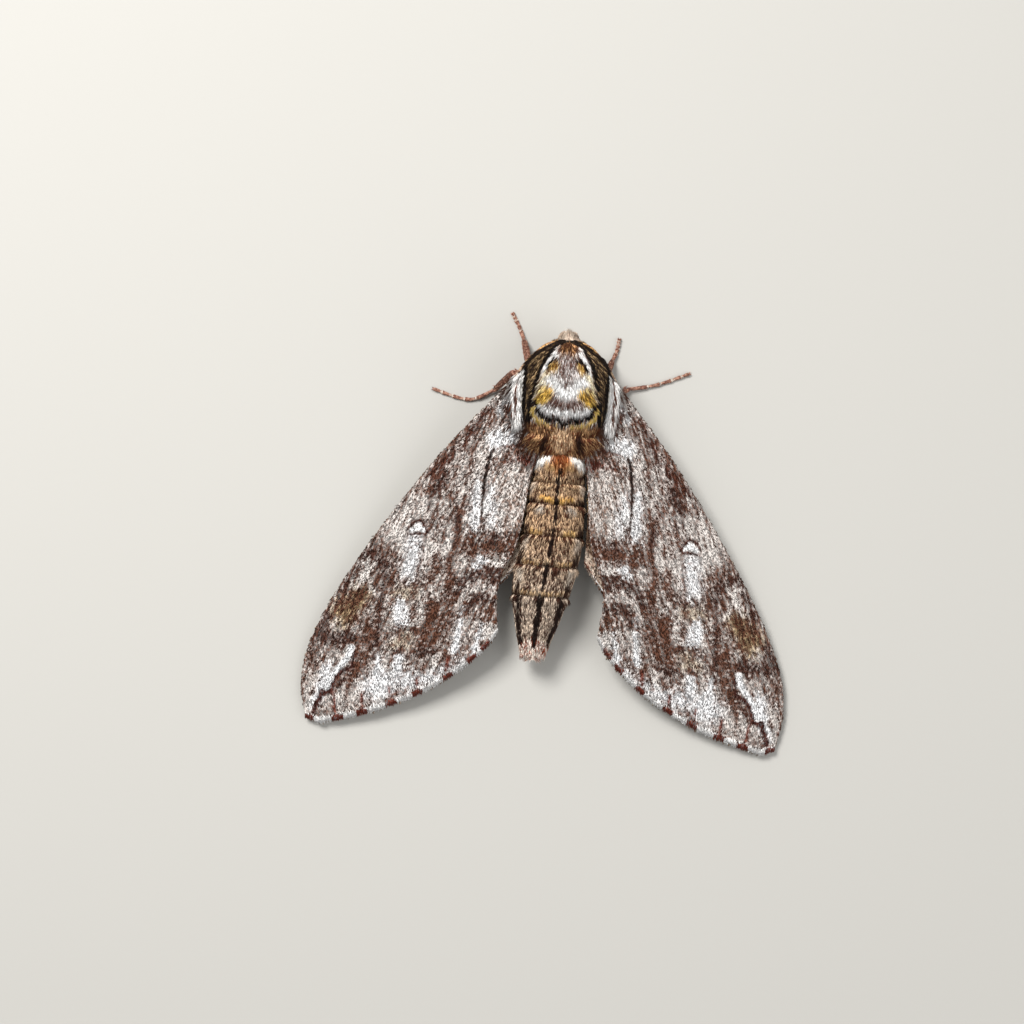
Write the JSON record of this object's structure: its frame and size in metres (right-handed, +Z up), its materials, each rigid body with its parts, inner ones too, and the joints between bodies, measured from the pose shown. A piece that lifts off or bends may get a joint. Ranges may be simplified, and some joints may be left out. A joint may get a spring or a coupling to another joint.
{
  "type": "hawk moth",
  "caption": "Still, life-size hawk moth at rest: furry body, roof-folded patterned wings, six legs on the floor.",
  "frame": {"origin": "middle of the whole moth's outline seen from above, at the level of the floor it stands on", "axes": "+Z up, +Y towards the head, +X to the moth's right"},
  "size_m": [0.0562, 0.0492, 0.0103],
  "materials": {
    "head_fur": "short grey-brown fur on the head and palps",
    "eye": "dark brown faceted eye with a soft gloss",
    "horn": "smooth horny brown tongue",
    "antenna": "ridged feelers, pale scaled above and rusty below",
    "thorax_fur": "dense fur: pale shield, black-edged olive lappets and rusty brown behind",
    "abdomen_fur": "close tan-brown scales with ochre joints and a dark middle line",
    "tail_fur": "peach and white brush of long scales",
    "forewing_scales": "salt-and-pepper scales in white, grey and red-brown with a chequered fringe",
    "hindwing_scales": "dark brown scales with a pale base and a chequered fringe",
    "leg": "red-brown scaled legs with fine white rings"
  },
  "bodies": {
    "root": {"head": "head_fur", "eye_R": "eye", "eye_L": "eye", "palp_R": "head_fur", "palp_L": "head_fur", "proboscis": "horn", "antenna_R": "antenna", "antenna_L": "antenna", "collar": "thorax_fur", "thorax": "thorax_fur", "metathorax": "thorax_fur", "tegula_R": "thorax_fur", "tegula_L": "thorax_fur", "abdomen_1": "abdomen_fur", "abdomen_2": "abdomen_fur", "abdomen_3": "abdomen_fur", "abdomen_4": "abdomen_fur", "abdomen_5": "abdomen_fur", "abdomen_6": "abdomen_fur", "tail_tuft": "tail_fur", "forewing_R": "forewing_scales", "forewing_L": "forewing_scales", "hindwing_R": "hindwing_scales", "hindwing_L": "hindwing_scales", "leg_fore_R_femur": "leg", "leg_fore_R_tibia": "leg", "leg_fore_R_tarsus": "leg", "leg_fore_L_femur": "leg", "leg_fore_L_tibia": "leg", "leg_fore_L_tarsus": "leg", "leg_mid_R_femur": "leg", "leg_mid_R_tibia": "leg", "leg_mid_R_tarsus": "leg", "leg_mid_L_femur": "leg", "leg_mid_L_tibia": "leg", "leg_mid_L_tarsus": "leg", "leg_hind_R_femur": "leg", "leg_hind_R_tibia": "leg", "leg_hind_R_tarsus": "leg", "leg_hind_L_femur": "leg", "leg_hind_L_tibia": "leg", "leg_hind_L_tarsus": "leg"}
  },
  "joints": []
}
